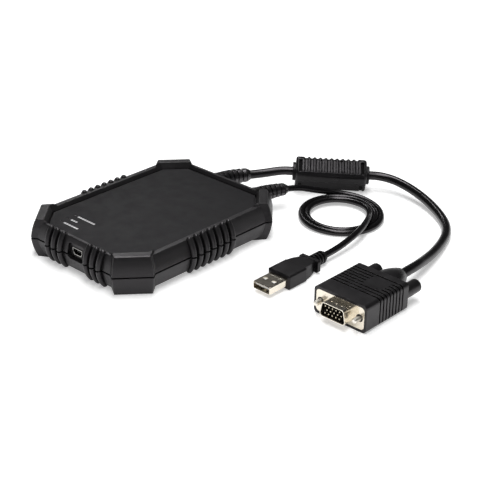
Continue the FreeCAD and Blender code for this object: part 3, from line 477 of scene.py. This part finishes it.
def metal(name, colour, rough, edge, dim=True):
    """Plated metal with faint marks of its stamping, with painted shade darkening its colour in its hollows
    where asked.
    """
    shader = Shader(name)
    shader.surface["Metallic"].default_value = 1.0
    tone = shader.colours(shader.noise(*metal_tone_noise), colour, metal_tones)
    # Painted shade: the colour is darkened where the surface is closed in
    if dim:
        hollow = shader.hollows(painted_shade_reach)
        shader.join(tone, hollow.inputs["Color"])
        shader.join(hollow.outputs["Color"], shader.surface["Base Color"])
    shader.roughness(shader.noise(*metal_rough_noise), rough, metal_rough_drift)
    shader.relief(shader.noise(*metal_grain_noise), metal_grain_strength, metal_grain_depth, edge)
    return shader.material


# Plastics, each with its grain in features per metre and its edge radius in metres
housing = moulded(
    "housing_plastic", (0.0085, 0.0083, 0.0088),
    rough=0.38, shine=0.46, grain=2600, strength=0.30, edge=0.0005,
)
panel = moulded(
    "panel_plastic", (0.0078, 0.0076, 0.0084),
    rough=0.48, shine=0.16, grain=2600, strength=0.35, edge=0.0003,
)
print_ink = moulded(
    "mark_print", (0.62, 0.62, 0.63),
    rough=0.60, shine=0.30, grain=2600, strength=0.20, edge=0.0001,
)
# Boots: painted shade dulls the shine between the rings within a short reach
rubber = moulded(
    "boot_rubber", (0.0060, 0.0058, 0.0062),
    rough=0.24, shine=1.00, grain=1800, strength=0.12, edge=0.0003, reach=ring_painted_shade_reach,
)
jacket = moulded(
    "cord_jacket", (0.0040, 0.0039, 0.0042),
    rough=0.22, shine=0.38, grain=1500, strength=0.04, edge=0.0001,
)
case = moulded(
    "ferrite_plastic", (0.0095, 0.0092, 0.0098),
    rough=0.32, shine=0.21, grain=1700, strength=0.15, edge=0.0007,
)
# Painted shade: the lower half's copy of the case plastic, painted darker than the upper half
smooth_shaded_case = moulded(
    "ferrite_smooth_painted_shade", (0.0060, 0.0058, 0.0062),
    rough=0.34, shine=0.20, grain=1700, strength=0.12, edge=0.0004,
)
# Painted shade: near-black plastic for the blocks inside the lid's slots
dark = moulded(
    "painted_slot_shade_plastic", (0.0012, 0.0012, 0.0012),
    rough=0.70, shine=0.06, grain=1700, strength=0.10, edge=0.0001,
)
usb_plug = moulded(
    "usb_plastic", (0.0070, 0.0067, 0.0070),
    rough=0.36, shine=0.30, grain=2000, strength=0.20, edge=0.0004,
)
plug = moulded(
    "plug_plastic", (0.0080, 0.0077, 0.0082),
    rough=0.32, shine=0.44, grain=2000, strength=0.20, edge=0.0003,
)
insulator = moulded(
    "insulator_plastic", (0.004, 0.0038, 0.004),
    rough=0.50, shine=0.30, grain=2000, strength=0.15, edge=0.0001,
)
tongue = moulded(
    "tongue_plastic", (0.80, 0.79, 0.76),
    rough=0.45, shine=0.40, grain=2000, strength=0.10, edge=0.0001,
)
board = moulded(
    "board_mask", (0.012, 0.075, 0.030),
    rough=0.35, shine=0.50, grain=900, strength=0.20, edge=0.0001,
)
guide = moulded(
    "light_guide", (0.006, 0.006, 0.006),
    rough=0.20, shine=0.50, grain=900, strength=0.05, edge=0.0001,
)
sintered = moulded(
    "ferrite_ceramic", (0.030, 0.029, 0.028),
    rough=0.70, shine=0.40, grain=1200, strength=0.40, edge=0.0002,
)

# Metals, each with its edge radius in metres, and whether shade is painted into its hollows
nickel = metal("nickel_plate", (0.84, 0.78, 0.67), rough=0.20, edge=0.0002, dim=False)
steel = metal("screw_steel", (0.90, 0.86, 0.78), rough=0.42, edge=0.0002, dim=False)
port_metal = metal("port_plate", (0.46, 0.45, 0.43), rough=0.28, edge=0.0001)
gold = metal("contact_gold", (0.56, 0.51, 0.40), rough=0.25, edge=0.0001)

finishes = {
    housing: ["top_shell", "bottom_shell"],
    panel: ["top_panel"],
    rubber: ["video_boot", "usb_boot"],
    sintered: ["ferrite_core_upper", "ferrite_core_lower"],
    plug: ["video_plug_hood", "thumbscrew_knob_left", "thumbscrew_knob_right"],
    usb_plug: ["usb_plug_overmold"],
    insulator: ["mini_socket_insulator", "video_plug_insulator", "board_chips", "cord_headers"],
    tongue: ["usb_plug_tongue"],
    board: ["main_board"],
    guide: ["status_lights"],
    nickel: ["video_plug_shell", "usb_plug_shell"],
    port_metal: ["mini_socket_shell"],
    steel: ["case_screws", "thumbscrew_rod_left", "thumbscrew_rod_right"],
    gold: ["video_plug_pins", "usb_plug_contacts"],
}
for material, names in finishes.items():
    for name in names:
        nodes[name].data.materials.clear()
        nodes[name].data.materials.append(material)

# New pieces: material, slot and body of each, the nodes they stand for, and the cords
dressed = [
    (video_cord, jacket, "video_jacket", "adapter"),
    (usb_cord, jacket, "usb_jacket", "adapter"),
    (light_marks, print_ink, "panel", "adapter"),
    (painted_slot_shade, dark, "ferrite_case", "ferrite_lid"),
    (upper_half, case, "ferrite_case", "ferrite_lid"),
    (lower_half, smooth_shaded_case, "ferrite_case", "adapter"),
]
for piece, material, slot_name, body in dressed:
    piece.data.materials.append(material)
    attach(piece, body)
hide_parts("video_cord_inner", "video_cord_middle", "video_cord_outer")
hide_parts("usb_cord_lead", "usb_cord_coil", "usb_cord_tail")
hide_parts("ferrite_case_upper")
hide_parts("ferrite_case_lower")


# Floor, light and background
def make_floor():
    """Wide pale floor that keeps the object's shadow and is white far from it."""
    sides = [(-1, -1), (1, -1), (1, 1), (-1, 1)]
    corners = [(x * floor_half_width, y * floor_half_width, 0) for x, y in sides]
    mesh = bpy.data.meshes.new("floor")
    mesh.from_pydata(corners, [], [(0, 1, 2, 3)])
    floor = link("floor", mesh)
    shader = Shader("floor_paper")
    shader.surface["Roughness"].default_value = floor_rough
    shader.surface["Specular IOR Level"].default_value = floor_shine
    shader.colours(shader.noise(*floor_tone_noise), white[:3], floor_tones)
    rays = shader.add("ShaderNodeLightPath").outputs
    mirrored = shader.spread(rays["Is Glossy Ray"], (0, 1), (0, floor_mirrored))
    seen = shader.combine("MAXIMUM", rays["Is Camera Ray"], mirrored)
    seen = shader.combine("MAXIMUM", seen, rays["Is Transmission Ray"])
    reach = shader.add("ShaderNodeVectorMath", operation="LENGTH")
    shader.join(shader.place, reach.inputs[0])
    glow = shader.spread(reach.outputs["Value"], floor_reach, floor_glow)
    shader.surface["Emission Color"].default_value = white
    shader.join(shader.combine("MULTIPLY", seen, glow), shader.surface["Emission Strength"])
    mesh.materials.append(shader.material)


def make_lamp(name, place, target, size, turn, power):
    """Soft oblong lamp that faces a place, turned about its own axis."""
    data = bpy.data.lights.new(name, "AREA")
    data.shape = "RECTANGLE"
    data.size = size[0]
    data.size_y = size[1]
    data.energy = power
    lamp = link(name, data)
    lamp.location = place
    facing = (Vector(target) - Vector(place)).to_track_quat("-Z", "Y")
    lamp.rotation_euler = (facing @ Quaternion((0, 0, 1), math.radians(turn))).to_euler()


def make_world():
    """Studio that is pale along the horizon and dim overhead."""
    world = bpy.data.worlds.new("studio")
    scene.world = world
    studio = NodeTree(world)
    background = studio.tree.nodes["Background"].inputs
    background["Color"].default_value = white
    place = studio.add("ShaderNodeTexCoord").outputs["Generated"]
    parts = studio.add("ShaderNodeSeparateXYZ")
    studio.join(place, parts.inputs["Vector"])
    strength = studio.spread(
        parts.outputs["Z"], (horizon_height, dim_height), (horizon_strength, dim_strength),
        interpolation_type="SMOOTHSTEP",
    )
    studio.join(strength, background["Strength"])


make_floor()
make_lamp(
    "main_lamp", place=(0.08, 0.0, 1.15), target=(0.08, 0.0, 0.0),
    size=(0.45, 1.4), turn=view_azimuth, power=15.0,
)
make_lamp(
    "strip_lamp", place=(-0.55, 0.45, 0.95), target=(0.06, 0.06, 0.0),
    size=(0.05, 1.0), turn=0.0, power=2.5,
)
make_world()
scene.view_settings.view_transform = "Standard"
